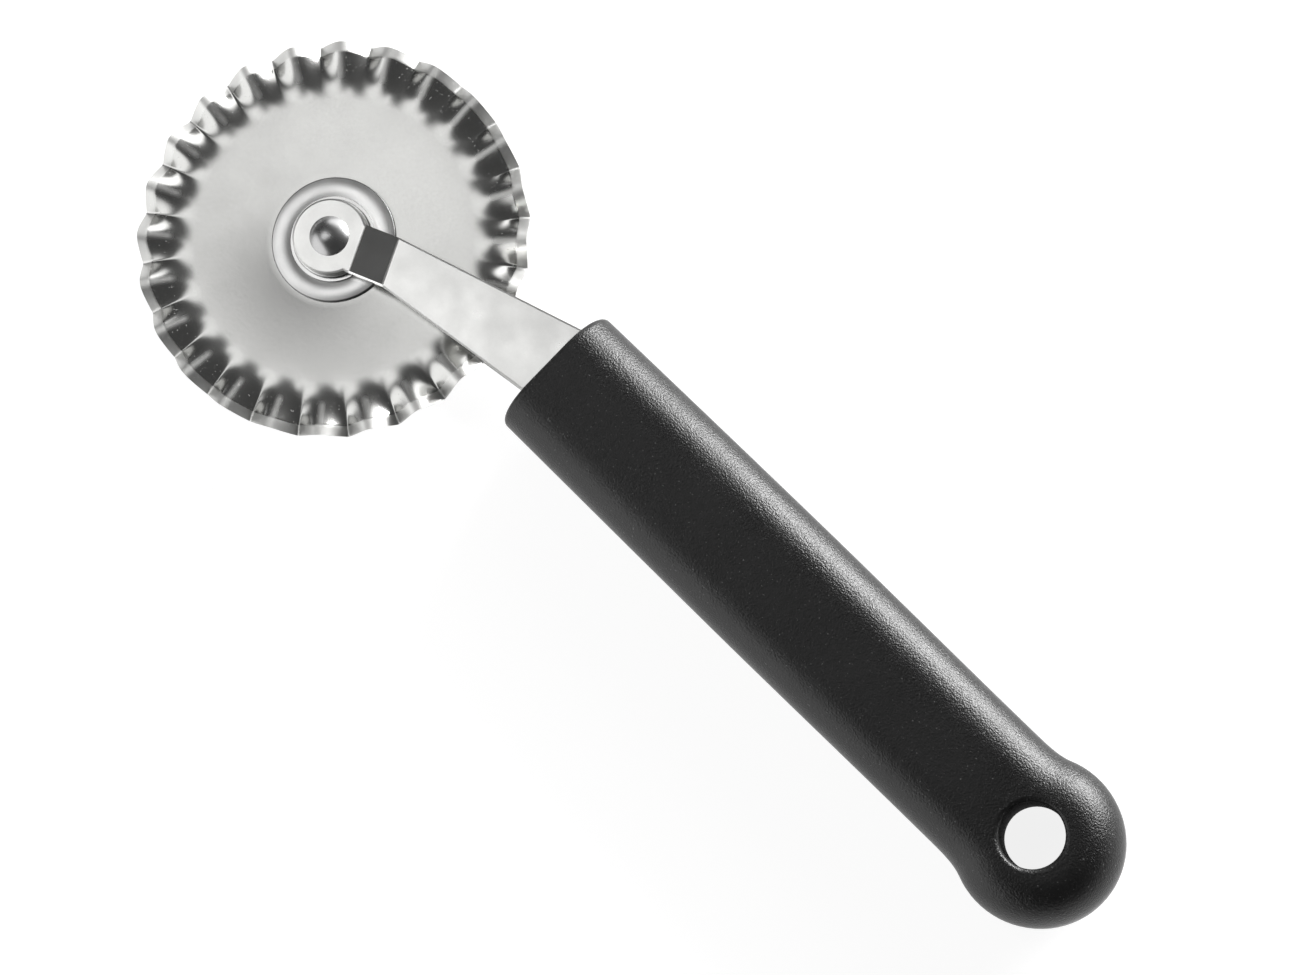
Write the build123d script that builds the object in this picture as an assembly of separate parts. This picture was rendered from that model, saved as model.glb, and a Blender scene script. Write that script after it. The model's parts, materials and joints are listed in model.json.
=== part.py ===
from build123d import *
import math
import os

# Fluted pastry wheel: a crimped steel disc on a fork with a moulded handle.
# Millimetres. X runs along the handle towards its end, Z along the axle, front side up.
# All shapes are made with the axle centre at the origin and moved to the shared frame at the end.

# Wheel disc
WHEEL_RADIUS = 30.0
WHEEL_SHEET = 0.8
FLUTE_COUNT = 24
DISC_CONE_ANGLE = 3.1
FLUTE_ROOT_RADIUS = 21.5
FLUTE_CREST_HEIGHT = 1.7
FLUTE_VALLEY_DEPTH = 1.5
FLUTE_SWELL = 0.5
FLUTE_GRIND_SHARE = 0.8
FLUTE_PHASE = 4.7
FLANK_DEGREE = 8
EDGE_BEVEL_WIDTH = 1.5
EDGE_THICKNESS = 0.2

# Hub
BUSH_RADIUS = 6.5
BUSH_LENGTH = 2.2
HUB_RING_RADIUS = 9.53
HUB_RING_HEIGHT = 0.62
HUB_RING_SHOULDER = 0.44
HUB_RING_ROUND = 0.12

# Axle rivet and washers
BARREL_RADIUS = 3.0
SHANK_RADIUS = 2.0
HEAD_RADIUS = 3.05
HEAD_HEIGHT = 1.2
TAIL_RADIUS = 3.3
TAIL_HEIGHT = 1.0
WASHER_RADIUS = 6.0
WASHER_THICKNESS = 0.45

# Fork arms
ARM_SHEET = 1.5
EYE_RADIUS = 5.7
NECK_WIDTH = 7.6
NECK_ANGLE = 19.0
FOLD_ANGLE = 25.0
FOLD_START = 4.9
FOLD_LENGTH = 6.3
FOLD_RISE = 3.0
EYE_BEND_RADIUS = 1.0
SHOULDER_RADIUS = 0.4
SHOULDER_INNER_RADIUS = 0.3
ARM_END_WIDTH = 12.3
ARM_END_OFFSET = 0.95
TANG_WIDTH = 11.0
TANG_LENGTH = 42.0
TANG_TAPER_LENGTH = 6.0
TANG_END_ROUND = 2.0
LOCK_HOLE_RADIUS = 2.5
LOCK_HOLE_SETBACK = 9.0

# Handle
HANDLE_OFFSET = 9.07
HANDLE_FRONT = 39.2
HANDLE_LENGTH = 110.4
HANDLE_THICKNESS = 18.0
HANDLE_EDGE_ROUND = 6.6
HANDLE_FRONT_ROUND = 0.9
FRONT_WIDTH = 21.5
MIDDLE_WIDTH = 21.8
WAIST_WIDTH = 21.3
WAIST_SETBACK = 23.4
BULB_RADIUS = 12.2
BULB_BLEND_ANGLE = 112.0
HANG_HOLE_RADIUS = 4.7
HANG_HOLE_SETBACK = 13.1
HANG_HOLE_LIP = 0.7

# Clearances
RUNNING_CLEARANCE = 0.05
AXIAL_PLAY = 0.12
SEAT_CLEARANCE = 0.02
RIVET_CLEARANCE = 0.03
TANG_CLEARANCE = 0.05

# Levels above the wheel's middle plane
WASHER_LEVEL = BUSH_LENGTH / 2 + AXIAL_PLAY
EYE_LEVEL = WASHER_LEVEL + WASHER_THICKNESS
HEAD_LEVEL = EYE_LEVEL + ARM_SHEET
ARM_LEVEL = EYE_LEVEL + FOLD_RISE

HANDLE_END = HANDLE_FRONT + HANDLE_LENGTH
FRAME_SHIFT = Pos((WHEEL_RADIUS - HANDLE_END) / 2, 0, HANDLE_THICKNESS / 2)


def direction(angle):
    """Unit vector in the wheel plane at an angle in degrees."""
    return Vector(math.cos(math.radians(angle)), math.sin(math.radians(angle)))


def arc_controls(start, end):
    """Control points of a cubic that follows the unit arc from start to end, in degrees."""
    reach = 4 / 3 * math.tan(math.radians(end - start) / 4)
    first = direction(start)
    last = direction(end)
    return [first, first + direction(start + 90) * reach, last - direction(end + 90) * reach, last]


def raised(controls, degree):
    """The same curve with the control points of a higher degree."""
    while len(controls) <= degree:
        n = len(controls)
        inner = [controls[i - 1] * (i / n) + controls[i] * (1 - i / n) for i in range(1, n)]
        controls = [controls[0], *inner, controls[-1]]
    return controls


def flute_rows():
    """Radius, share of the full flute height, half thickness and climbs of the disc's two rings of patches."""
    # A flank swells softly at its root; at the rim it climbs straight from its fold line to a level crest.
    soft = [0, 0, 0.1, 0.3, 0.5, 0.7, 0.9, 1, 1]
    straight = [*[i / (FLANK_DEGREE - 1) for i in range(FLANK_DEGREE)], 1]
    bevel_radius = WHEEL_RADIUS - EDGE_BEVEL_WIDTH
    grown = FLUTE_GRIND_SHARE
    step = (bevel_radius - FLUTE_ROOT_RADIUS) / 3
    half = WHEEL_SHEET / 2
    slope = [
        (FLUTE_ROOT_RADIUS, 0, half, soft),
        (FLUTE_ROOT_RADIUS + step, 0, half, soft),
        (FLUTE_ROOT_RADIUS + 2 * step, grown * FLUTE_SWELL, half, soft),
        (bevel_radius, grown, half, straight),
    ]
    bevel = [(bevel_radius, grown, half, straight), (WHEEL_RADIUS, 1, EDGE_THICKNESS / 2, straight)]
    return slope, bevel


def flank_row(arc, falling, row, side):
    """One row of control points of a flank patch on the front (+1) or the rear (-1) face of the dished disc."""
    radius, share, half, climbs = row
    dish = (radius - HUB_RING_RADIUS) * math.tan(math.radians(DISC_CONE_ANGLE))
    heights = [share * (c * (FLUTE_CREST_HEIGHT + FLUTE_VALLEY_DEPTH) - FLUTE_VALLEY_DEPTH) for c in climbs]
    if falling:
        heights.reverse()
    return [Vector(p.X * radius, p.Y * radius, dish + h + side * half) for p, h in zip(arc, heights)]


def fluted_wheel():
    slope, bevel = flute_rows()
    half_pitch = 180 / FLUTE_COUNT
    faces = []
    hub_edges = {1: [], -1: []}
    for k in range(2 * FLUTE_COUNT):
        start = FLUTE_PHASE + k * half_pitch
        arc = raised(arc_controls(start, start + half_pitch), FLANK_DEGREE)
        falling = k % 2 == 1
        for side in (1, -1):
            hub = [Vector(p.X * HUB_RING_RADIUS, p.Y * HUB_RING_RADIUS, side * WHEEL_SHEET / 2) for p in arc]
            faces.append(Face.make_bezier_surface([hub, flank_row(arc, falling, slope[0], side)]))
            faces.append(Face.make_bezier_surface([flank_row(arc, falling, row, side) for row in slope]))
            faces.append(Face.make_bezier_surface([flank_row(arc, falling, row, side) for row in bevel]))
            hub_edges[side].append(Edge.make_bezier(*hub))
        faces.append(Face.make_bezier_surface([flank_row(arc, falling, bevel[1], side) for side in (1, -1)]))
    for side in (1, -1):
        faces.append(Face(Wire(hub_edges[side])))
    disc = Solid(Shell(faces))
    bore = Cylinder(BUSH_RADIUS + SEAT_CLEARANCE, 4 * WHEEL_SHEET)
    return disc - bore


def hub_bush():
    return Cylinder(BUSH_RADIUS, BUSH_LENGTH) - Cylinder(BARREL_RADIUS + RUNNING_CLEARANCE, 2 * BUSH_LENGTH)


def hub_ring(side):
    inner = BUSH_RADIUS + SEAT_CLEARANCE
    base = WHEEL_SHEET / 2
    shoulder = base + HUB_RING_SHOULDER
    with BuildSketch(Plane.XZ) as section:
        with BuildLine():
            Polyline((inner, shoulder), (inner, base), (HUB_RING_RADIUS, base), (HUB_RING_RADIUS, shoulder))
            crown = ((inner + HUB_RING_RADIUS) / 2, base + HUB_RING_HEIGHT)
            ThreePointArc((HUB_RING_RADIUS, shoulder), crown, (inner, shoulder))
        make_face()
        fillet(section.vertices().group_by(Axis.Y)[-1], HUB_RING_ROUND)
    ring = revolve(section.sketch, Axis.Z)
    return ring if side > 0 else mirror(ring, Plane.XY)


def spacer_washer(side):
    washer = Cylinder(WASHER_RADIUS, WASHER_THICKNESS)
    washer -= Cylinder(SHANK_RADIUS + RIVET_CLEARANCE, 2 * WASHER_THICKNESS)
    return Pos(0, 0, side * (WASHER_LEVEL + WASHER_THICKNESS / 2)) * washer


def rivet_end(radius, height):
    """Shank and domed head of one end of the rivet, on the front side."""
    with BuildSketch(Plane.XZ) as section:
        with BuildLine():
            Line((0, 0), (BARREL_RADIUS, 0))
            Line((BARREL_RADIUS, 0), (BARREL_RADIUS, WASHER_LEVEL))
            Line((BARREL_RADIUS, WASHER_LEVEL), (SHANK_RADIUS, WASHER_LEVEL))
            Line((SHANK_RADIUS, WASHER_LEVEL), (SHANK_RADIUS, HEAD_LEVEL))
            Line((SHANK_RADIUS, HEAD_LEVEL), (radius, HEAD_LEVEL))
            RadiusArc((radius, HEAD_LEVEL), (0, HEAD_LEVEL + height), -(radius**2 + height**2) / (2 * height))
            Line((0, HEAD_LEVEL + height), (0, 0))
        make_face()
    return revolve(section.sketch, Axis.Z)


def axle_rivet():
    return rivet_end(HEAD_RADIUS, HEAD_HEIGHT) + mirror(rivet_end(TAIL_RADIUS, TAIL_HEIGHT), Plane.XY)


def arm_outline(grow):
    """Flat outline of an arm without its eye, widened by a clearance on each side."""
    neck = direction(NECK_ANGLE)
    across = direction(NECK_ANGLE + 90)
    fold_far = (FOLD_START + FOLD_LENGTH) / math.cos(math.radians(FOLD_ANGLE - NECK_ANGLE))
    skew = math.tan(math.radians(FOLD_ANGLE - NECK_ANGLE)) * NECK_WIDTH / 2
    half = NECK_WIDTH / 2 + grow
    arm_middle = HANDLE_OFFSET + ARM_END_OFFSET
    arm_half = ARM_END_WIDTH / 2 + grow
    tang_half = TANG_WIDTH / 2 + grow
    tang_start = HANDLE_FRONT + TANG_TAPER_LENGTH
    tang_end = HANDLE_FRONT + TANG_LENGTH + grow
    points = [
        across * -half,
        neck * (fold_far + skew) - across * half,
        Vector(HANDLE_FRONT, arm_middle - arm_half),
        Vector(tang_start, HANDLE_OFFSET - tang_half),
        Vector(tang_end, HANDLE_OFFSET - tang_half),
        Vector(tang_end, HANDLE_OFFSET + tang_half),
        Vector(tang_start, HANDLE_OFFSET + tang_half),
        Vector(HANDLE_FRONT, arm_middle + arm_half),
        neck * (fold_far - skew) + across * half,
        across * half,
    ]
    return Polygon(*[(p.X, p.Y) for p in points], align=None)


def lock_hole(shrink):
    place = HANDLE_FRONT + TANG_LENGTH - LOCK_HOLE_SETBACK
    return Pos(place, HANDLE_OFFSET) * Circle(LOCK_HOLE_RADIUS - shrink)


def tang_end_corners(outline):
    return outline.vertices().group_by(Axis.X)[-1]


def folded_sheet():
    """The joggled strip that an arm is blanked from, wide enough for its whole outline."""
    angle = math.atan2(FOLD_RISE, FOLD_LENGTH)
    turn = ARM_SHEET / 2 * math.tan(angle / 2)
    back = -3 * EYE_RADIUS
    ahead = HANDLE_FRONT + 2 * TANG_LENGTH
    first = FOLD_START
    second = FOLD_START + FOLD_LENGTH
    low = EYE_LEVEL
    high = ARM_LEVEL
    corners = [
        (back, low),
        (first + turn, low),
        (second - turn, high),
        (ahead, high),
        (ahead, high + ARM_SHEET),
        (second + turn, high + ARM_SHEET),
        (first - turn, low + ARM_SHEET),
        (back, low + ARM_SHEET),
    ]
    section = Polygon(*corners, align=None)
    bends = {
        1: EYE_BEND_RADIUS + ARM_SHEET,
        2: SHOULDER_INNER_RADIUS,
        5: SHOULDER_RADIUS,
        6: EYE_BEND_RADIUS,
    }
    for place, radius in bends.items():
        target = Vector(*corners[place])
        corner = section.vertices().sort_by_distance(target)[0]
        section = fillet(corner, radius)
    across = direction(FOLD_ANGLE + 90)
    side = Plane(origin=(0, 0, 0), x_dir=tuple(direction(FOLD_ANGLE)), z_dir=tuple(across * -1))
    return extrude(side * section, amount=HANDLE_FRONT + TANG_LENGTH, both=True)


def arm(side):
    outline = arm_outline(0)
    outline = fillet(tang_end_corners(outline), TANG_END_ROUND)
    outline += Circle(EYE_RADIUS)
    outline -= Circle(SHANK_RADIUS + RIVET_CLEARANCE)
    outline -= lock_hole(0)
    body = extrude(outline, amount=2 * (ARM_LEVEL + ARM_SHEET)) & folded_sheet()
    return body if side > 0 else mirror(body, Plane.XY)


def tang_pocket():
    """Room in the handle for the front arm's tang, with its clearance, around the locking peg."""
    outline = arm_outline(TANG_CLEARANCE)
    outline = fillet(tang_end_corners(outline), TANG_END_ROUND + TANG_CLEARANCE)
    outline -= lock_hole(TANG_CLEARANCE)
    reach = Pos(HANDLE_FRONT + TANG_LENGTH, HANDLE_OFFSET) * Rectangle(2.5 * TANG_LENGTH, 4 * TANG_WIDTH)
    return Pos(0, 0, ARM_LEVEL - TANG_CLEARANCE) * extrude(outline & reach, amount=ARM_SHEET + 2 * TANG_CLEARANCE)


def handle_plan():
    """Plan view of the handle: two shallow sides and a round bulb at the end."""
    bulb_x = HANDLE_END - BULB_RADIUS
    blend = direction(BULB_BLEND_ANGLE)
    waist_x = HANDLE_END - WAIST_SETBACK
    middle_x = HANDLE_FRONT + (waist_x - HANDLE_FRONT) / 2
    upper = [
        (HANDLE_FRONT, FRONT_WIDTH / 2),
        (middle_x, MIDDLE_WIDTH / 2),
        (waist_x, WAIST_WIDTH / 2),
        (bulb_x + BULB_RADIUS * blend.X, BULB_RADIUS * blend.Y),
    ]
    leave = direction(BULB_BLEND_ANGLE - 90)
    tangents = [(1, 0.004), (1, 0), (1, 0), (leave.X, leave.Y)]
    with BuildSketch() as plan:
        with BuildLine():
            Spline(*upper, tangents=tangents)
            ThreePointArc(upper[-1], (HANDLE_END, 0), (upper[-1][0], -upper[-1][1]))
            Spline(*[(x, -y) for x, y in upper], tangents=[(x, -y) for x, y in tangents])
            Line((HANDLE_FRONT, -FRONT_WIDTH / 2), (HANDLE_FRONT, FRONT_WIDTH / 2))
        make_face()
    return plan.sketch


def handle():
    body = extrude(handle_plan(), amount=HANDLE_THICKNESS / 2, both=True)
    half = HANDLE_THICKNESS / 2
    rims = [e for e in body.edges() if abs(abs(e.center().Z) - half) < 0.01]
    rims = [e for e in rims if e.center().X > HANDLE_FRONT + 0.01]
    body = fillet(rims, HANDLE_EDGE_ROUND)
    front = [e for e in body.edges() if abs(e.center().X - HANDLE_FRONT) < 0.01]
    front = [e for e in front if abs(e.bounding_box().size.X) < 0.01]
    body = fillet(front, HANDLE_FRONT_ROUND)
    hole_x = HANDLE_END - HANG_HOLE_SETBACK
    body -= Pos(hole_x, 0, 0) * Cylinder(HANG_HOLE_RADIUS, 2 * HANDLE_THICKNESS)
    lips = body.edges().filter_by(GeomType.CIRCLE)
    lips = [e for e in lips if abs(e.radius - HANG_HOLE_RADIUS) < 0.01 and abs(abs(e.center().Z) - half) < 0.01]
    body = fillet(lips, HANG_HOLE_LIP)
    body = Pos(0, HANDLE_OFFSET, 0) * body
    pocket = tang_pocket()
    return body - pocket - mirror(pocket, Plane.XY)


nodes = {
    "handle": handle(),
    "front_arm": arm(1),
    "rear_arm": arm(-1),
    "axle_rivet": axle_rivet(),
    "spacer_washer_front": spacer_washer(1),
    "spacer_washer_rear": spacer_washer(-1),
    "fluted_wheel": fluted_wheel(),
    "hub_bush": hub_bush(),
    "hub_ring_front": hub_ring(1),
    "hub_ring_rear": hub_ring(-1),
}

os.makedirs("parts", exist_ok=True)
for name, shape in nodes.items():
    export_step(FRAME_SHIFT * shape, f"parts/{name}.step")
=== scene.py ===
"""Dresses a fluted pastry wheel: crimped steel disc, sheet fork, moulded handle and a small studio."""

import json
import math

import bmesh
import bpy
from mathutils import Matrix, Vector


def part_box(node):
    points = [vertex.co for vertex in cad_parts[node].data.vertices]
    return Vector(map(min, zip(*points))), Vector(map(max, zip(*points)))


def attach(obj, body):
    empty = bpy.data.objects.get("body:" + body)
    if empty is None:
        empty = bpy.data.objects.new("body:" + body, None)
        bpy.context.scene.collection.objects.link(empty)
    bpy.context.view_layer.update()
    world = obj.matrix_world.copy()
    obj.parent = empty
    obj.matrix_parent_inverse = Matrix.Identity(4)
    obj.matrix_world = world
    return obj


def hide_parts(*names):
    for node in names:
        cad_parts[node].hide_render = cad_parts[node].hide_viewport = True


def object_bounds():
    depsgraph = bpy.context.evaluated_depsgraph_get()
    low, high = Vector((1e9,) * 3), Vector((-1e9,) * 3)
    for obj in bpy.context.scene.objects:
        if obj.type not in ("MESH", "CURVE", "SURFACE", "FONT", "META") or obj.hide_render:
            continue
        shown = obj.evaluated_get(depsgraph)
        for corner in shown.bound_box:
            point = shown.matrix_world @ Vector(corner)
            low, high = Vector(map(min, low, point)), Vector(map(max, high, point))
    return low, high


bl_info = {
    "name": "Fluted Pastry Wheel",
    "version": (1, 0, 0),
    "blender": (4, 5, 0),
    "location": "3D View > Sidebar > Pastry Wheel",
    "description": "Builds the looks of a crimped pastry wheel on its CAD frame",
    "category": "Object",
}

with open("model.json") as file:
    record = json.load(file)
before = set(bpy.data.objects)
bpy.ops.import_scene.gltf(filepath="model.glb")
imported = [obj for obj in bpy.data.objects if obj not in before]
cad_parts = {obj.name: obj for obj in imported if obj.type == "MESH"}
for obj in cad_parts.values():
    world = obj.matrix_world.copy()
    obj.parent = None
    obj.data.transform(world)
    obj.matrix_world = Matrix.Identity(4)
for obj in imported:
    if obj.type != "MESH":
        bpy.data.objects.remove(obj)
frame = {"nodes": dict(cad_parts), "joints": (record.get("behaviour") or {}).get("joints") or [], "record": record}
CAD_BOX = [list(corner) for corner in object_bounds()]
MM = 0.001
AXLE = Vector(frame["joints"][0]["pos_m"])
DISC_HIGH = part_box("fluted_wheel")[1]
RING_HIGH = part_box("hub_ring_front")[1]
BUSH_LOW, BUSH_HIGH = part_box("hub_bush")
WASHER_LOW, WASHER_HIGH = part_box("spacer_washer_front")
SEAT_CLEARANCE = 0.02 * MM
# The bent part of the arms, from the axle towards the neck.
BEND_ANGLE = math.radians(25)
BEND_WAY = Vector((math.cos(BEND_ANGLE), math.sin(BEND_ANGLE), 0))
BEND_MIDDLE = 8 * MM
BEND_HALF = 3.1 * MM
HANG_HOLE = frame["record"]["mounts"][0]
HOLE_MIDDLE = Vector(HANG_HOLE["pos_m"])
HOLE_RADIUS = HANG_HOLE["dims"]["r_mm"] * MM


def linear(hex_colour):
    """An sRGB hex colour as linear red, green and blue."""
    parts = [int(hex_colour[i : i + 2], 16) / 255 for i in (1, 3, 5)]
    return tuple(c / 12.92 if c <= 0.04045 else ((c + 0.055) / 1.055) ** 2.4 for c in parts)


class PastryWheelSizes(bpy.types.PropertyGroup):
    """Sizes of the crimped disc and of the eased edges."""

    disc_radius: bpy.props.FloatProperty(
        name="Disc Radius",
        description="Radius of the disc at the points of its cutting edge",
        default=DISC_HIGH.x - AXLE.x,
        unit="LENGTH",
    )
    bore_radius: bpy.props.FloatProperty(
        name="Bore Radius",
        description="Radius of the disc's bore, just over the bush",
        default=(BUSH_HIGH.x - BUSH_LOW.x) / 2 + SEAT_CLEARANCE,
        unit="LENGTH",
    )
    root_radius: bpy.props.FloatProperty(
        name="Flute Root Radius",
        description="Radius at which the flutes begin to rise from the flat disc",
        default=21.5 * MM,
        unit="LENGTH",
    )
    swell: bpy.props.FloatProperty(
        name="Flute Swell",
        description="Share of a flute's height that swells softly at its root",
        default=0.5,
    )
    grind_share: bpy.props.FloatProperty(
        name="Grind Share",
        description="Share of its rim height that a flute has where the ground edge begins",
        default=0.8,
    )
    fold_round: bpy.props.FloatProperty(
        name="Fold Round",
        description="Share of half a flute over which a fold line is rounded",
        default=0.08,
    )
    crest_height: bpy.props.FloatProperty(
        name="Crest Height",
        description="Rise of a flute's crest above the disc's middle plane at the rim",
        default=1.7 * MM,
        unit="LENGTH",
    )
    valley_depth: bpy.props.FloatProperty(
        name="Valley Depth",
        description="Drop of a fold line below the disc's middle plane at the rim",
        default=1.5 * MM,
        unit="LENGTH",
    )
    sheet: bpy.props.FloatProperty(
        name="Disc Sheet",
        description="Thickness of the disc's sheet",
        default=0.8 * MM,
        unit="LENGTH",
    )
    edge_sheet: bpy.props.FloatProperty(
        name="Cutting Edge",
        description="Thickness left at the ground cutting edge",
        default=0.2 * MM,
        unit="LENGTH",
    )
    edge_bevel: bpy.props.FloatProperty(
        name="Edge Grind Width",
        description="Width of the band that is ground along the cutting edge",
        default=1.5 * MM,
        unit="LENGTH",
    )
    flutes: bpy.props.IntProperty(
        name="Flutes",
        description="Number of flutes round the disc",
        default=24,
        min=8,
    )
    fold_angle: bpy.props.FloatProperty(
        name="First Fold",
        description="Angle of the first fold line from the handle's direction",
        default=math.radians(4.7),
        subtype="ANGLE",
    )
    crest_crispness: bpy.props.FloatProperty(
        name="Crest Crispness",
        description="How straight a flute's flanks run before they round over at the crest",
        default=5.0,
        min=2.0,
    )
    arm_edge: bpy.props.FloatProperty(
        name="Arm Edge",
        description="Width of the die roll along the arms' stamped edges",
        default=0.26 * MM,
        unit="LENGTH",
    )
    die_roll: bpy.props.FloatProperty(
        name="Die Roll",
        description="How far the die pulled the arms' stamped edges down",
        default=0.062 * MM,
        unit="LENGTH",
    )
    cone_angle: bpy.props.FloatProperty(
        name="Cone Angle",
        description="Angle at which the disc rises like a flat cone from its hub to its rim",
        default=math.radians(2.4),
        subtype="ANGLE",
    )
    dish: bpy.props.FloatProperty(
        name="Disc Dish",
        description="How far the disc rises above that cone, most steeply next to its hub",
        default=0.23 * MM,
        unit="LENGTH",
    )
    hub_radius: bpy.props.FloatProperty(
        name="Hub Radius",
        description="Radius of the domed hub ring, outside which the disc is dished",
        default=RING_HIGH.x - AXLE.x,
        unit="LENGTH",
    )


class PastryWheelColours(bpy.types.PropertyGroup):
    """Colours of the steel, the moulding, the specks on them and the floor."""

    disc_steel: bpy.props.FloatVectorProperty(
        name="Disc Steel",
        description="Colour of the disc's stainless sheet",
        subtype="COLOR",
        default=linear("#BABAB8"),
    )
    ground_steel: bpy.props.FloatVectorProperty(
        name="Ground Steel",
        description="Colour of the disc's freshly ground edge",
        subtype="COLOR",
        default=linear("#CFCFCD"),
    )
    arm_steel: bpy.props.FloatVectorProperty(
        name="Arm Steel",
        description="Colour of the fork arms' stainless sheet",
        subtype="COLOR",
        default=linear("#E4E4E2"),
    )
    rivet_steel: bpy.props.FloatVectorProperty(
        name="Rivet Steel",
        description="Colour of the polished rivet",
        subtype="COLOR",
        default=linear("#A6A6A6"),
    )
    hub_steel: bpy.props.FloatVectorProperty(
        name="Hub Steel",
        description="Colour of the turned bush and washers",
        subtype="COLOR",
        default=linear("#C9C9C8"),
    )
    ring_steel: bpy.props.FloatVectorProperty(
        name="Ring Steel",
        description="Colour of the two domed hub rings",
        subtype="COLOR",
        default=linear("#DADAD9"),
    )
    handle_plastic: bpy.props.FloatVectorProperty(
        name="Handle Plastic",
        description="Colour of the moulded handle",
        subtype="COLOR",
        default=linear("#0A0A0A"),
    )
    flour: bpy.props.FloatVectorProperty(
        name="Flour",
        description="Colour of the specks of flour on the flutes",
        subtype="COLOR",
        default=linear("#E7E7E5"),
    )
    # Colour of the handle's light specks, which are partly dust and partly a painted sparkle.
    dust_and_sparkle: bpy.props.FloatVectorProperty(
        name="Dust",
        description="Colour of the specks of dust on the handle",
        subtype="COLOR",
        default=linear("#CBCBCB"),
    )
    floor: bpy.props.FloatVectorProperty(
        name="Floor",
        description="Colour of the plain floor",
        subtype="COLOR",
        default=linear("#959595"),
    )


class PastryWheelStudio(bpy.types.PropertyGroup):
    """Camera and soft lamps of the studio."""

    camera_place: bpy.props.FloatVectorProperty(
        name="Camera Place",
        description="Where the camera stands",
        subtype="TRANSLATION",
        default=(104.001 * MM, 12.565 * MM, 480.769 * MM),
    )
    camera_turn: bpy.props.FloatVectorProperty(
        name="Camera Turn",
        description="How the camera is turned",
        subtype="EULER",
        default=tuple(math.radians(a) for a in (8.1014, 9.2616, 44.8673)),
    )
    camera_lens: bpy.props.FloatProperty(
        name="Lens",
        description="Focal length of the camera's lens in millimetres on a 36 mm sensor",
        default=91.3846,
    )
    overhead_power: bpy.props.FloatProperty(
        name="Overhead Lamp",
        description="Power of the soft lamp over the tool",
        default=1.52,
        unit="POWER",
    )
    arm_power: bpy.props.FloatProperty(
        name="Arm Lamp",
        description="Power of the small soft lamp that the fork arm mirrors",
        default=0.16,
        unit="POWER",
    )
    window_power: bpy.props.FloatProperty(
        name="Window Strip",
        description="Power of the low bright strip beside the handle",
        default=16.0,
        unit="POWER",
    )
    right_power: bpy.props.FloatProperty(
        name="Right Panel",
        description="Power of the soft panel above the strip",
        default=4.0,
        unit="POWER",
    )
    left_power: bpy.props.FloatProperty(
        name="Left Panel",
        description="Power of the soft panel on the other side",
        default=5.0,
        unit="POWER",
    )


def add_node(tree, kind, settings, inputs):
    """Adds a node, sets its settings, and sets or links its inputs."""
    node = tree.nodes.new(kind)
    for name, value in settings.items():
        setattr(node, name, value)
    for name, value in inputs.items():
        if isinstance(value, bpy.types.NodeSocket):
            tree.links.new(value, node.inputs[name])
        else:
            node.inputs[name].default_value = value
    return node


def new_material(name):
    """An empty node material and its tree."""
    material = bpy.data.materials.new(name)
    material.use_nodes = True
    material.node_tree.nodes.clear()
    return material, material.node_tree


def rgba(colour):
    """A colour with full alpha, for a node's colour socket."""
    return (*colour, 1.0)


def shade(colour, share):
    """That share of a colour, for a node's colour socket."""
    return rgba([c * share for c in colour])


def from_line(tree, place, middle):
    """Sockets for the way from a middle to a place, and for that way's length as seen along Z."""
    way = add_node(tree, "ShaderNodeVectorMath", {"operation": "SUBTRACT"}, {0: place, 1: middle})
    flat = add_node(
        tree, "ShaderNodeVectorMath", {"operation": "MULTIPLY"}, {0: way.outputs["Vector"], 1: (1, 1, 0)}
    )
    length = add_node(tree, "ShaderNodeVectorMath", {"operation": "LENGTH"}, {0: flat.outputs["Vector"]})
    return way.outputs["Vector"], length.outputs["Value"]


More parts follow.
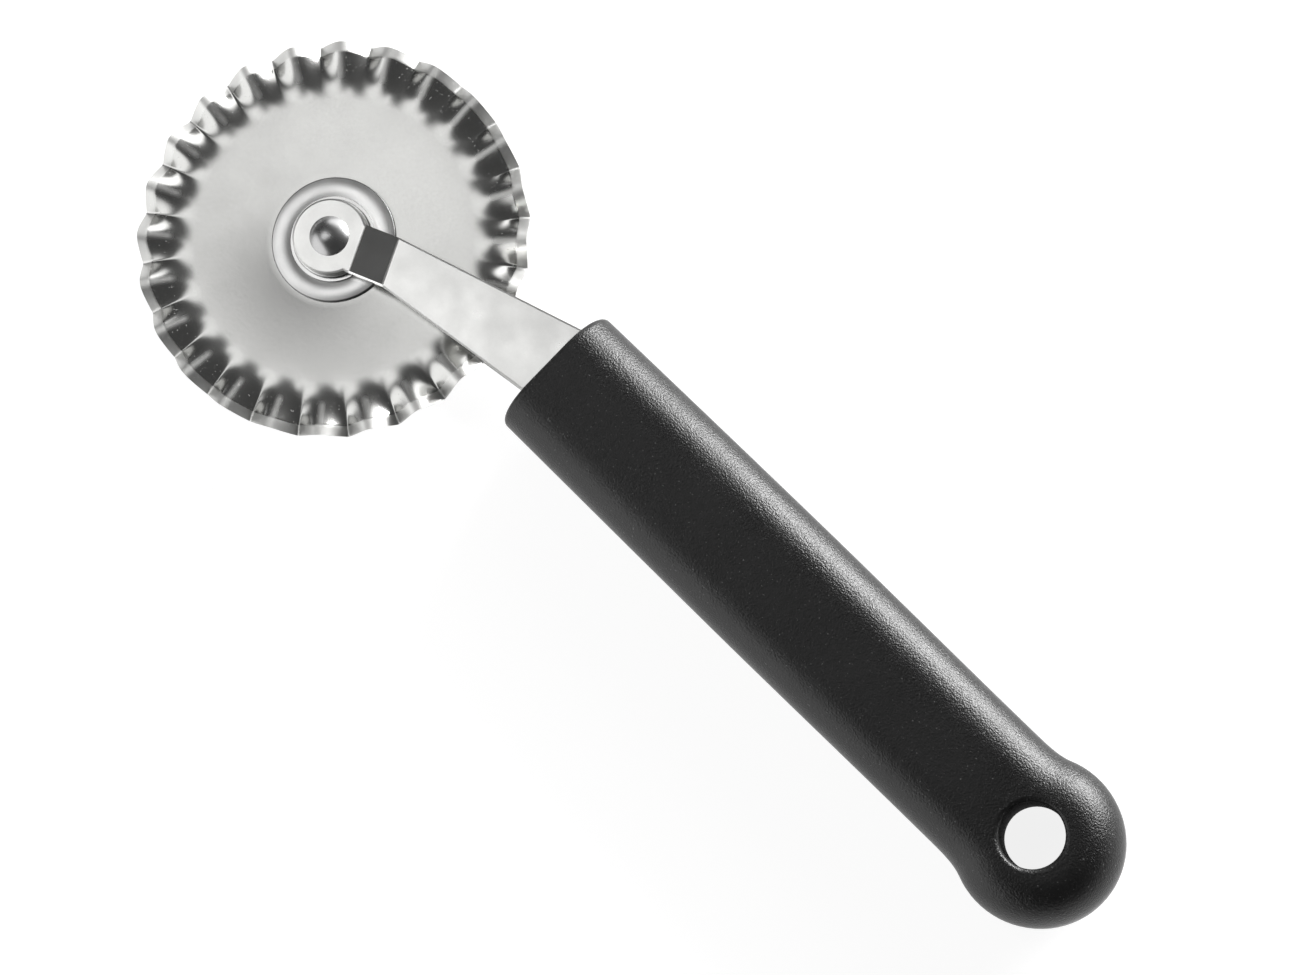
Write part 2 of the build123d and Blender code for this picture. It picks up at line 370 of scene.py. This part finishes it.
def rolled_disc_steel(colours, sizes):
    """Cold rolled stainless sheet, tumbled satin on the flat and burnished where dies pressed the flutes.

    The eye gets a soft grey sheen on the flat, mirror streaks on the flutes and a dull light edge.
    """
    unevenness = 0.012
    grind_roughness = 0.22
    wear_start = 0.72
    peen_shade = 0.9
    half_flute = math.pi / sizes.flutes
    ground_radius = sizes.disc_radius - sizes.edge_bevel
    material, tree = new_material("Rolled_stainless_disc")
    place = add_node(tree, "ShaderNodeTexCoord", {}, {}).outputs["Object"]
    from_axle, radius = from_line(tree, place, AXLE)
    # Satin peening marks about 0.5 mm across.
    peen = add_node(
        tree,
        "ShaderNodeTexNoise",
        {},
        {"Vector": place, "Scale": 1 / (0.5 * MM), "Detail": 3.0, "Roughness": 0.6},
    )
    # Broad uneven burnish about 6 mm across.
    cloud = add_node(
        tree,
        "ShaderNodeTexNoise",
        {},
        {"Vector": place, "Scale": 1 / (6 * MM), "Detail": 2.0},
    )
    # The flutes are pressed bright, from satin at their root to polished halfway up.
    satin = add_node(
        tree,
        "ShaderNodeMapRange",
        {"interpolation_type": "SMOOTHSTEP"},
        {
            "Value": radius,
            "From Min": sizes.root_radius + 2.5 * MM,
            "From Max": sizes.root_radius + 5 * MM,
            "To Min": 0.24,
            "To Max": 0.19,
        },
    )
    # The ground edge is left coarse and dull, in bare light metal.
    ground = add_node(
        tree,
        "ShaderNodeMapRange",
        {},
        {
            "Value": radius,
            "From Min": ground_radius - 0.1 * MM,
            "From Max": ground_radius + 0.1 * MM,
            "To Min": 0.0,
            "To Max": 1.0,
        },
    )
    worked = add_node(
        tree,
        "ShaderNodeMath",
        {"operation": "MULTIPLY_ADD"},
        {0: ground.outputs["Result"], 1: grind_roughness, 2: satin.outputs["Result"]},
    )
    # Use has rubbed the crests of the flutes dull.
    parts = add_node(tree, "ShaderNodeSeparateXYZ", {}, {"Vector": from_axle})
    around = add_node(
        tree, "ShaderNodeMath", {"operation": "ARCTAN2"}, {0: parts.outputs["Y"], 1: parts.outputs["X"]}
    )
    from_fold = add_node(
        tree, "ShaderNodeMath", {"operation": "SUBTRACT"}, {0: around.outputs["Value"], 1: sizes.fold_angle}
    )
    climb = add_node(
        tree,
        "ShaderNodeMath",
        {"operation": "PINGPONG"},
        {0: from_fold.outputs["Value"], 1: half_flute},
    )
    rubbed = add_node(
        tree,
        "ShaderNodeMapRange",
        {"interpolation_type": "SMOOTHSTEP"},
        {
            "Value": climb.outputs["Value"],
            "From Min": wear_start * half_flute,
            "From Max": half_flute,
            "To Min": 0.0,
            "To Max": 0.24,
        },
    )
    on_flute = add_node(
        tree,
        "ShaderNodeMapRange",
        {},
        {
            "Value": radius,
            "From Min": sizes.root_radius + 3 * MM,
            "From Max": sizes.root_radius + 4 * MM,
            "To Min": 0.0,
            "To Max": 1.0,
        },
    )
    wear = add_node(
        tree,
        "ShaderNodeMath",
        {"operation": "MULTIPLY_ADD"},
        {0: rubbed.outputs["Result"], 1: on_flute.outputs["Result"], 2: worked.outputs["Value"]},
    )
    patchy = add_node(
        tree,
        "ShaderNodeMapRange",
        {},
        {
            "Value": cloud.outputs["Fac"],
            "From Min": 0.3,
            "From Max": 0.7,
            "To Min": -unevenness,
            "To Max": unevenness,
        },
    )
    rough = add_node(
        tree,
        "ShaderNodeMath",
        {"operation": "ADD"},
        {0: wear.outputs["Value"], 1: patchy.outputs["Result"]},
    )
    tone = add_node(
        tree,
        "ShaderNodeMix",
        {"data_type": "RGBA"},
        {
            "Factor": peen.outputs["Fac"],
            "A": rgba(colours.disc_steel),
            "B": shade(colours.disc_steel, peen_shade),
        },
    )
    bare = add_node(
        tree,
        "ShaderNodeMix",
        {"data_type": "RGBA"},
        {"Factor": ground.outputs["Result"], "A": tone.outputs["Result"], "B": rgba(colours.ground_steel)},
    )
    # Specks of flour about 0.2 mm across cling to the flutes.
    flour = add_node(
        tree,
        "ShaderNodeTexNoise",
        {},
        {"Vector": place, "Scale": 1 / (0.36 * MM), "Detail": 1.0, "Roughness": 0.5},
    )
    speck = add_node(
        tree,
        "ShaderNodeMapRange",
        {},
        {"Value": flour.outputs["Fac"], "From Min": 0.67, "From Max": 0.76, "To Min": 0.0, "To Max": 0.4},
    )
    dusty = add_node(
        tree,
        "ShaderNodeMath",
        {"operation": "MULTIPLY"},
        {0: speck.outputs["Result"], 1: on_flute.outputs["Result"]},
    )
    clean = add_node(tree, "ShaderNodeMath", {"operation": "SUBTRACT"}, {0: 1.0, 1: dusty.outputs["Value"]})
    coat = add_node(
        tree,
        "ShaderNodeMix",
        {"data_type": "RGBA"},
        {"Factor": dusty.outputs["Value"], "A": bare.outputs["Result"], "B": rgba(colours.flour)},
    )
    bump = add_node(
        tree,
        "ShaderNodeBump",
        {},
        {"Strength": 0.12, "Distance": 0.02 * MM, "Height": peen.outputs["Fac"]},
    )
    steel = add_node(
        tree,
        "ShaderNodeBsdfPrincipled",
        {},
        {
            "Base Color": coat.outputs["Result"],
            "Metallic": clean.outputs["Value"],
            "Roughness": rough.outputs["Value"],
            "Normal": bump.outputs["Normal"],
        },
    )
    add_node(tree, "ShaderNodeOutputMaterial", {}, {"Surface": steel.outputs["BSDF"]})
    return material


def tumbled_steel(name, colour, roughness, mark_size, burnish=0.0, shade_edge_radius=1.0):
    """Stainless steel from the tumbler, which leaves it bright with shallow marks of one size.

    Where the press bent the sheet next to the axle, the burnish is taken off its roughness.
    Outside the shade edge radius from the axle, the steel is painted dark: a painted shade along the rim where the
    part meets its neighbour.

    The eye gets a clean sheen that breaks up finely, with a few duller patches.
    """
    patch_size = 10 * mark_size
    unevenness = 0.03
    mark_shade = 0.92
    shade_edge_fade = 0.12 * MM
    shade_edge_level = 0.1
    material, tree = new_material(name)
    place = add_node(tree, "ShaderNodeTexCoord", {}, {}).outputs["Object"]
    from_axle, radius = from_line(tree, place, AXLE)
    marks = add_node(
        tree,
        "ShaderNodeTexNoise",
        {},
        {"Vector": place, "Scale": 1 / mark_size, "Detail": 3.0, "Roughness": 0.6},
    )
    cloud = add_node(
        tree,
        "ShaderNodeTexNoise",
        {},
        {"Vector": place, "Scale": 1 / patch_size, "Detail": 2.0},
    )
    rough = add_node(
        tree,
        "ShaderNodeMapRange",
        {},
        {
            "Value": cloud.outputs["Fac"],
            "From Min": 0.3,
            "From Max": 0.7,
            "To Min": roughness - unevenness,
            "To Max": roughness + unevenness,
        },
    )
    along = add_node(
        tree,
        "ShaderNodeVectorMath",
        {"operation": "DOT_PRODUCT"},
        {0: from_axle, 1: BEND_WAY},
    )
    bent = add_node(
        tree,
        "ShaderNodeMath",
        {"operation": "COMPARE"},
        {0: along.outputs["Value"], 1: BEND_MIDDLE, 2: BEND_HALF},
    )
    pressed = add_node(
        tree,
        "ShaderNodeMath",
        {"operation": "MULTIPLY_ADD"},
        {0: bent.outputs["Value"], 1: -burnish, 2: rough.outputs["Result"]},
    )
    tone = add_node(
        tree,
        "ShaderNodeMix",
        {"data_type": "RGBA"},
        {"Factor": marks.outputs["Fac"], "A": rgba(colour), "B": shade(colour, mark_shade)},
    )
    # Painted shade: the steel darkens outside the shade edge radius, along the rim where the part meets its
    # neighbour.
    painted_edge_shade = add_node(
        tree,
        "ShaderNodeMapRange",
        {},
        {
            "Value": radius,
            "From Min": shade_edge_radius,
            "From Max": shade_edge_radius + shade_edge_fade,
            "To Min": 0.0,
            "To Max": 0.85,
        },
    )
    edge_shaded_tone = add_node(
        tree,
        "ShaderNodeMix",
        {"data_type": "RGBA"},
        {"Factor": painted_edge_shade.outputs["Result"], "A": tone.outputs["Result"], "B": shade(colour, shade_edge_level)},
    )
    bump = add_node(
        tree,
        "ShaderNodeBump",
        {},
        {"Strength": 0.1, "Distance": 0.02 * MM, "Height": marks.outputs["Fac"]},
    )
    steel = add_node(
        tree,
        "ShaderNodeBsdfPrincipled",
        {},
        {
            "Base Color": edge_shaded_tone.outputs["Result"],
            "Metallic": 1.0,
            "Roughness": pressed.outputs["Value"],
            "Normal": bump.outputs["Normal"],
        },
    )
    add_node(tree, "ShaderNodeOutputMaterial", {}, {"Surface": steel.outputs["BSDF"]})
    return material


def moulded_polypropylene(colours):
    """Black polypropylene moulded in a spark eroded cavity.

    The eye gets a dense black with a broad soft gloss, which the fine pebbly grain breaks into sparkles, with
    light specks that are partly dust and partly painted sparkle.
    """
    low_shade = 0.8
    high_shade = 1.2
    material, tree = new_material("Moulded_polypropylene")
    place = add_node(tree, "ShaderNodeTexCoord", {}, {}).outputs["Object"]
    from_hole = from_line(tree, place, HOLE_MIDDLE)[1]
    # Eroded grain about 0.28 mm across.
    grain = add_node(
        tree,
        "ShaderNodeTexNoise",
        {},
        {"Vector": place, "Scale": 1 / (0.28 * MM), "Detail": 2.0, "Roughness": 0.5},
    )
    # Rubbed patches about 12 mm across.
    rubbed = add_node(
        tree,
        "ShaderNodeTexNoise",
        {},
        {"Vector": place, "Scale": 1 / (12 * MM), "Detail": 2.0},
    )
    rough = add_node(
        tree,
        "ShaderNodeMapRange",
        {},
        {"Value": rubbed.outputs["Fac"], "From Min": 0.3, "From Max": 0.7, "To Min": 0.33, "To Max": 0.4},
    )
    # The core pin that made the hang hole left its wall dull, and the lip around it keeps the gloss.
    dull = add_node(
        tree,
        "ShaderNodeMapRange",
        {},
        {
            "Value": from_hole,
            "From Min": HOLE_RADIUS + 0.05 * MM,
            "From Max": HOLE_RADIUS + 0.3 * MM,
            "To Min": 1.0,
            "To Max": 0.0,
        },
    )
    finish = add_node(
        tree,
        "ShaderNodeMath",
        {"operation": "MAXIMUM"},
        {0: rough.outputs["Result"], 1: dull.outputs["Result"]},
    )
    # Light specks about 0.25 mm across sit in the grain, partly dust and partly a painted sparkle.
    dust_and_sparkle = add_node(
        tree,
        "ShaderNodeTexNoise",
        {},
        {"Vector": place, "Scale": 1 / (0.4 * MM), "Detail": 1.0, "Roughness": 0.5},
    )
    speck = add_node(
        tree,
        "ShaderNodeMapRange",
        {},
        {"Value": dust_and_sparkle.outputs["Fac"], "From Min": 0.68, "From Max": 0.8, "To Min": 0.0, "To Max": 0.14},
    )
    bump = add_node(
        tree,
        "ShaderNodeBump",
        {},
        {"Strength": 1.0, "Distance": 0.11 * MM, "Height": grain.outputs["Fac"]},
    )
    tone = add_node(
        tree,
        "ShaderNodeMix",
        {"data_type": "RGBA"},
        {
            "Factor": grain.outputs["Fac"],
            "A": shade(colours.handle_plastic, low_shade),
            "B": shade(colours.handle_plastic, high_shade),
        },
    )
    # The specks mix in a painted sparkle as well as dust.
    dusty = add_node(
        tree,
        "ShaderNodeMix",
        {"data_type": "RGBA"},
        {"Factor": speck.outputs["Result"], "A": tone.outputs["Result"], "B": rgba(colours.dust_and_sparkle)},
    )
    plastic = add_node(
        tree,
        "ShaderNodeBsdfPrincipled",
        {},
        {
            "Base Color": dusty.outputs["Result"],
            "Roughness": finish.outputs["Value"],
            "IOR": 1.49,
            "Normal": bump.outputs["Normal"],
        },
    )
    add_node(tree, "ShaderNodeOutputMaterial", {}, {"Surface": plastic.outputs["BSDF"]})
    return material


def painted_floor(colours):
    """Matt white painted board.

    The eye gets an even white that keeps the tool's soft shadow, and the steel mirrors the same white.
    """
    glow = 0.86
    material, tree = new_material("Painted_board")
    path = add_node(tree, "ShaderNodeLightPath", {}, {})
    seen = add_node(
        tree,
        "ShaderNodeMath",
        {"operation": "ADD", "use_clamp": True},
        {0: path.outputs["Is Camera Ray"], 1: path.outputs["Is Glossy Ray"]},
    )
    seen_too = add_node(
        tree,
        "ShaderNodeMath",
        {"operation": "ADD", "use_clamp": True},
        {0: seen.outputs["Value"], 1: path.outputs["Is Transmission Ray"]},
    )
    share = add_node(
        tree, "ShaderNodeMath", {"operation": "MULTIPLY"}, {0: seen_too.outputs["Value"], 1: glow}
    )
    board = add_node(tree, "ShaderNodeBsdfDiffuse", {}, {"Color": rgba(colours.floor)})
    white = add_node(
        tree, "ShaderNodeEmission", {}, {"Color": (1, 1, 1, 1), "Strength": share.outputs["Value"]}
    )
    both = add_node(
        tree, "ShaderNodeAddShader", {}, {0: board.outputs["BSDF"], 1: white.outputs["Emission"]}
    )
    add_node(tree, "ShaderNodeOutputMaterial", {}, {"Surface": both.outputs["Shader"]})
    return material


def new_piece(name, bm, material, crease=math.radians(30)):
    """Makes the bmesh an object of that name, shaded smooth up to the crease angle."""
    mesh = bpy.data.meshes.new(name)
    bm.to_mesh(mesh)
    bm.free()
    mesh.shade_smooth()
    mesh.set_sharp_from_angle(angle=crease)
    mesh.materials.append(material)
    piece = bpy.data.objects.new(name, mesh)
    bpy.context.scene.collection.objects.link(piece)
    return piece


def dress_node(node, material):
    """Gives a CAD node its finish."""
    for slot in frame["nodes"][node].material_slots:
        slot.material = material


def flute_growth(radius, sizes):
    """Shares of its rim height that a flute has at a radius as a soft swelling and as straight flanks.

    From root to grind the two grow along a cubic curve of which the swelling is the third control point.
    """
    ground = sizes.disc_radius - sizes.edge_bevel
    if radius >= ground:
        return 0.0, 1 - (1 - sizes.grind_share) * (sizes.disc_radius - radius) / sizes.edge_bevel
    along = max(0.0, (radius - sizes.root_radius) / (ground - sizes.root_radius))
    return sizes.grind_share * 3 * along**2 * (1 - along) * sizes.swell, sizes.grind_share * along**3


def flute_height(radius, climb, sizes):
    """Height of a flute at a radius, where climb goes from 0 on a fold line to 1 on the crest."""
    crisp = sizes.crest_crispness
    eased = climb
    if climb < sizes.fold_round:
        eased = (climb**2 / sizes.fold_round + sizes.fold_round) / 2
    straight = (eased - eased**crisp / crisp) / (1 - 1 / crisp)
    soft = (1 - math.cos(math.pi * climb)) / 2
    swelling, standing = flute_growth(radius, sizes)
    rise = swelling * soft + standing * straight
    return rise * (sizes.crest_height + sizes.valley_depth) - (swelling + standing) * sizes.valley_depth


def dish_rise(radius, sizes):
    """How far the dished disc stands above its middle at a radius."""
    if radius <= sizes.hub_radius:
        return 0.0
    steepness = 1.5
    inward = max(0.0, (sizes.root_radius - radius) / (sizes.root_radius - sizes.hub_radius))
    return math.tan(sizes.cone_angle) * (radius - sizes.hub_radius) + sizes.dish * (1 - inward**steepness)


def half_sheet(radius, sizes):
    """Half the sheet's thickness at a radius, thinned by the grind along the edge."""
    ground = sizes.disc_radius - sizes.edge_bevel
    thin = max(0.0, (radius - ground) / sizes.edge_bevel)
    return (sizes.sheet * (1 - thin) + sizes.edge_sheet * thin) / 2


class PASTRY_OT_fluted_disc(bpy.types.Operator):
    """Spin the disc's section and press its flutes"""

    bl_idname = "pastry_wheel.fluted_disc"
    bl_label = "Fluted Disc"
    bl_options = {"REGISTER", "UNDO"}

    flat_rings = 12
    slope_rings = 22
    grind_rings = 4
    flute_columns = 32
    crowding = 0.8
    crease = math.radians(25)

    def execute(self, context):
        sizes = context.scene.pastry_sizes
        colours = context.scene.pastry_colours
        ground = sizes.disc_radius - sizes.edge_bevel
        stops = [
            (sizes.bore_radius, sizes.hub_radius, 1),
            (sizes.hub_radius, sizes.root_radius, self.flat_rings),
            (sizes.root_radius, ground, self.slope_rings),
            (ground, sizes.disc_radius, self.grind_rings),
        ]
        radii = [sizes.bore_radius]
        for inner, outer, rings in stops:
            radii += [inner + (outer - inner) * (k + 1) / rings for k in range(rings)]
        bm = bmesh.new()
        front = [bm.verts.new((r, 0, half_sheet(r, sizes))) for r in radii]
        rear = [bm.verts.new((r, 0, -half_sheet(r, sizes))) for r in reversed(radii)]
        section = front + rear
        edges = [bm.edges.new((a, b)) for a, b in zip(section, section[1:] + section[:1])]
        bmesh.ops.spin(
            bm,
            geom=section + edges,
            cent=(0, 0, 0),
            axis=(0, 0, 1),
            angle=math.tau,
            steps=sizes.flutes * self.flute_columns,
            use_merge=True,
        )
        pitch = math.tau / sizes.flutes
        for vert in bm.verts:
            radius = vert.co.xy.length
            around = math.atan2(vert.co.y, vert.co.x)
            column = (around % pitch) / pitch
            # The columns are crowded towards the fold lines.
            across = column - self.crowding * math.sin(math.tau * column) / math.tau
            turned = around + (across - column) * pitch
            lift = flute_height(radius, 1 - abs(2 * across - 1), sizes) + dish_rise(radius, sizes)
            vert.co = (radius * math.cos(turned), radius * math.sin(turned), vert.co.z + lift)
        turn = Matrix.Rotation(sizes.fold_angle, 4, "Z")
        bmesh.ops.transform(bm, matrix=Matrix.Translation(AXLE) @ turn, verts=bm.verts)
        bmesh.ops.recalc_face_normals(bm, faces=bm.faces)
        disc = new_piece("fluted_disc", bm, rolled_disc_steel(colours, sizes), self.crease)
        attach(disc, "wheel")
        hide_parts("fluted_wheel")
        return {"FINISHED"}


class PASTRY_OT_hub(bpy.types.Operator):
    """Finish the bush, the two domed rings and the two washers"""

    bl_idname = "pastry_wheel.hub"
    bl_label = "Hub"
    bl_options = {"REGISTER", "UNDO"}

    # Widths of the painted shade along the outer rims of the rings and the washers.
    ring_shade_width = 0.22 * MM
    washer_shade_width = 0.15 * MM

    def execute(self, context):
        colours = context.scene.pastry_colours
        sizes = context.scene.pastry_sizes
        ring = tumbled_steel(
            "Satin_stainless_ring",
            colours.ring_steel,
            roughness=0.32,
            mark_size=0.4 * MM,
            shade_edge_radius=sizes.hub_radius - self.ring_shade_width,
        )
        turned = tumbled_steel(
            "Turned_stainless_bush", colours.hub_steel, roughness=0.22, mark_size=0.3 * MM
        )
        washer = tumbled_steel(
            "Stamped_stainless_washer",
            colours.hub_steel,
            roughness=0.24,
            mark_size=0.3 * MM,
            shade_edge_radius=(WASHER_HIGH.x - WASHER_LOW.x) / 2 - self.washer_shade_width,
        )
        dress_node("hub_bush", turned)
        for side in ("front", "rear"):
            dress_node("hub_ring_" + side, ring)
            dress_node("spacer_washer_" + side, washer)
        return {"FINISHED"}


class PASTRY_OT_rivet(bpy.types.Operator):
    """Finish the rivet that carries the wheel"""

    bl_idname = "pastry_wheel.rivet"
    bl_label = "Rivet"
    bl_options = {"REGISTER", "UNDO"}

    def execute(self, context):
        polished = tumbled_steel(
            "Polished_stainless_rivet",
            context.scene.pastry_colours.rivet_steel,
            roughness=0.27,
            mark_size=0.3 * MM,
        )
        dress_node("axle_rivet", polished)
        return {"FINISHED"}


class PASTRY_OT_fork(bpy.types.Operator):
    """Ease the stamped edges of the two fork arms"""

    bl_idname = "pastry_wheel.fork"
    bl_label = "Fork"
    bl_options = {"REGISTER", "UNDO"}

    weld = 0.001 * MM
    flat_angle = math.radians(0.2)
    facing = 0.5
    crease = math.radians(15)

    def execute(self, context):
        sizes = context.scene.pastry_sizes
        colours = context.scene.pastry_colours
        sheet = tumbled_steel(
            "Bright_stainless_sheet", colours.arm_steel, roughness=0.3, mark_size=0.5 * MM, burnish=0.15
        )
        for node in ("front_arm", "rear_arm"):
            bm = bmesh.new()
            bm.from_mesh(frame["nodes"][node].data)
            bmesh.ops.remove_doubles(bm, verts=bm.verts, dist=self.weld)
            bmesh.ops.dissolve_limit(bm, angle_limit=self.flat_angle, verts=bm.verts, edges=bm.edges)
            bm.normal_update()
            for side in (1, -1):
                flats = [face for face in bm.faces if side * face.normal.z > self.facing]
                rolled = bmesh.ops.inset_region(
                    bm, faces=flats, thickness=sizes.arm_edge, use_boundary=True, use_even_offset=True
                )["faces"]
                level = {vert for face in flats for vert in face.verts}
                rim = {vert for face in rolled for vert in face.verts} - level
                bmesh.ops.translate(bm, vec=(0, 0, -side * sizes.die_roll), verts=list(rim))
            arm = new_piece(node + "_eased", bm, sheet, self.crease)
            even = arm.modifiers.new("even_shading", "WEIGHTED_NORMAL")
            even.keep_sharp = True
            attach(arm, "grip")
            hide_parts(node)
        return {"FINISHED"}


class PASTRY_OT_handle(bpy.types.Operator):
    """Finish the moulded handle"""

    bl_idname = "pastry_wheel.handle"
    bl_label = "Handle"
    bl_options = {"REGISTER", "UNDO"}

    def execute(self, context):
        dress_node("handle", moulded_polypropylene(context.scene.pastry_colours))
        return {"FINISHED"}


def soft_lamp(name, place, aim, size, power, feather=0.5):
    """Hangs an oval soft lamp at a place, turned to a point, that fades towards its rim over the feather."""
    middle = 0.5
    data = bpy.data.lights.new(name, "AREA")
    data.shape = "ELLIPSE"
    data.size, data.size_y = size
    data.energy = power
    data.use_nodes = True
    tree = data.node_tree
    tree.nodes.clear()
    spot = add_node(tree, "ShaderNodeNewGeometry", {}, {})
    reach = from_line(tree, spot.outputs["Parametric"], (middle, middle, 0))[1]
    fade = add_node(
        tree,
        "ShaderNodeMapRange",
        {"interpolation_type": "SMOOTHSTEP"},
        {
            "Value": reach,
            "From Min": middle * (1 - feather),
            "From Max": middle,
            "To Min": 1.0,
            "To Max": 0.0,
        },
    )
    glow = add_node(tree, "ShaderNodeEmission", {}, {"Strength": fade.outputs["Result"]})
    add_node(tree, "ShaderNodeOutputLight", {}, {"Surface": glow.outputs["Emission"]})
    lamp = bpy.data.objects.new(name, data)
    lamp.location = place
    lamp.visible_camera = False
    lamp.rotation_euler = (Vector(aim) - Vector(place)).to_track_quat("-Z", "Y").to_euler()
    bpy.context.scene.collection.objects.link(lamp)


class PASTRY_OT_stage(bpy.types.Operator):
    """Set up the floor, the room, the lamps and the camera"""

    bl_idname = "pastry_wheel.stage"
    bl_label = "Studio"
    bl_options = {"REGISTER", "UNDO"}

    floor_half = 4.0
    floor_gap = 0.1 * MM
    sensor_width = 36.0

    def execute(self, context):
        scene = context.scene
        studio = scene.pastry_studio
        bm = bmesh.new()
        bmesh.ops.create_grid(bm, x_segments=1, y_segments=1, size=self.floor_half)
        floor_drop = Vector((0, 0, CAD_BOX[0][2] - self.floor_gap))
        bmesh.ops.translate(bm, vec=floor_drop, verts=bm.verts)
        new_piece("floor", bm, painted_floor(scene.pastry_colours))
        self.light_room(scene)
        self.hang_lamps(studio)
        lens = bpy.data.cameras.new("camera")
        lens.sensor_width = self.sensor_width
        lens.lens = studio.camera_lens
        camera = bpy.data.objects.new("camera", lens)
        camera.location = studio.camera_place
        camera.rotation_euler = studio.camera_turn
        scene.collection.objects.link(camera)
        scene.camera = camera
        scene.view_settings.view_transform = "Standard"
        return {"FINISHED"}

    def hang_lamps(self, studio):
        """Two lamps overhead, a strip low beside the handle and a panel on each side."""
        soft_lamp(
            "overhead_lamp",
            place=(-0.409, -0.181, 0.81),
            aim=(-0.06, 0.0, 0.0),
            size=(0.6, 0.6),
            power=studio.overhead_power,
        )
        soft_lamp(
            "arm_lamp",
            place=(-0.216, 0.0, 0.81),
            aim=(-0.03, 0.0, 0.0),
            size=(0.14, 0.23),
            power=studio.arm_power,
        )
        soft_lamp(
            "window_strip",
            place=(0.02, 0.60, 0.13),
            aim=(0.02, 0.0, 0.01),
            size=(0.56, 0.38),
            power=studio.window_power,
            feather=0.3,
        )
        soft_lamp(
            "right_panel",
            place=(-0.339, 0.573, 0.27),
            aim=(-0.06, 0.0, 0.01),
            size=(1.15, 0.56),
            power=studio.right_power,
        )
        soft_lamp(
            "left_panel",
            place=(-0.256, -0.603, 0.306),
            aim=(-0.06, 0.0, 0.01),
            size=(1.55, 0.76),
            power=studio.left_power,
        )

    def light_room(self, scene):
        """A room that is white round the horizon and dim above it."""
        world = bpy.data.worlds.new("studio_room")
        world.use_nodes = True
        tree = world.node_tree
        tree.nodes.clear()
        way = add_node(tree, "ShaderNodeTexCoord", {}, {})
        parts = add_node(tree, "ShaderNodeSeparateXYZ", {}, {"Vector": way.outputs["Generated"]})
        level = add_node(
            tree,
            "ShaderNodeMapRange",
            {"interpolation_type": "SMOOTHSTEP"},
            {"Value": parts.outputs["Z"], "From Min": 0.03, "From Max": 0.13, "To Min": 1.0, "To Max": 0.09},
        )
        room = add_node(
            tree, "ShaderNodeBackground", {}, {"Color": (1, 1, 1, 1), "Strength": level.outputs["Result"]}
        )
        add_node(tree, "ShaderNodeOutputWorld", {}, {"Surface": room.outputs["Background"]})
        scene.world = world


class PASTRY_PT_panel(bpy.types.Panel):
    """Lists the pieces of the pastry wheel"""

    bl_idname = "PASTRY_PT_panel"
    bl_label = "Pastry Wheel"
    bl_space_type = "VIEW_3D"
    bl_region_type = "UI"
    bl_category = "Pastry Wheel"

    def draw(self, context):
        layout = self.layout
        for operator in PIECES:
            layout.operator(operator.bl_idname)
        scene = context.scene
        for group in (scene.pastry_sizes, scene.pastry_colours, scene.pastry_studio):
            box = layout.box()
            for name in group.__annotations__:
                box.prop(group, name)


PIECES = (
    PASTRY_OT_fluted_disc,
    PASTRY_OT_hub,
    PASTRY_OT_rivet,
    PASTRY_OT_fork,
    PASTRY_OT_handle,
    PASTRY_OT_stage,
)
CLASSES = (PastryWheelSizes, PastryWheelColours, PastryWheelStudio, *PIECES, PASTRY_PT_panel)


def register():
    for cls in CLASSES:
        bpy.utils.register_class(cls)
    bpy.types.Scene.pastry_sizes = bpy.props.PointerProperty(type=PastryWheelSizes)
    bpy.types.Scene.pastry_colours = bpy.props.PointerProperty(type=PastryWheelColours)
    bpy.types.Scene.pastry_studio = bpy.props.PointerProperty(type=PastryWheelStudio)


def unregister():
    del bpy.types.Scene.pastry_studio
    del bpy.types.Scene.pastry_colours
    del bpy.types.Scene.pastry_sizes
    for cls in reversed(CLASSES):
        bpy.utils.unregister_class(cls)


def main():
    register()
    bpy.ops.pastry_wheel.fluted_disc()
    bpy.ops.pastry_wheel.hub()
    bpy.ops.pastry_wheel.rivet()
    bpy.ops.pastry_wheel.fork()
    bpy.ops.pastry_wheel.handle()
    bpy.ops.pastry_wheel.stage()


if __name__ == "__main__":
    main()
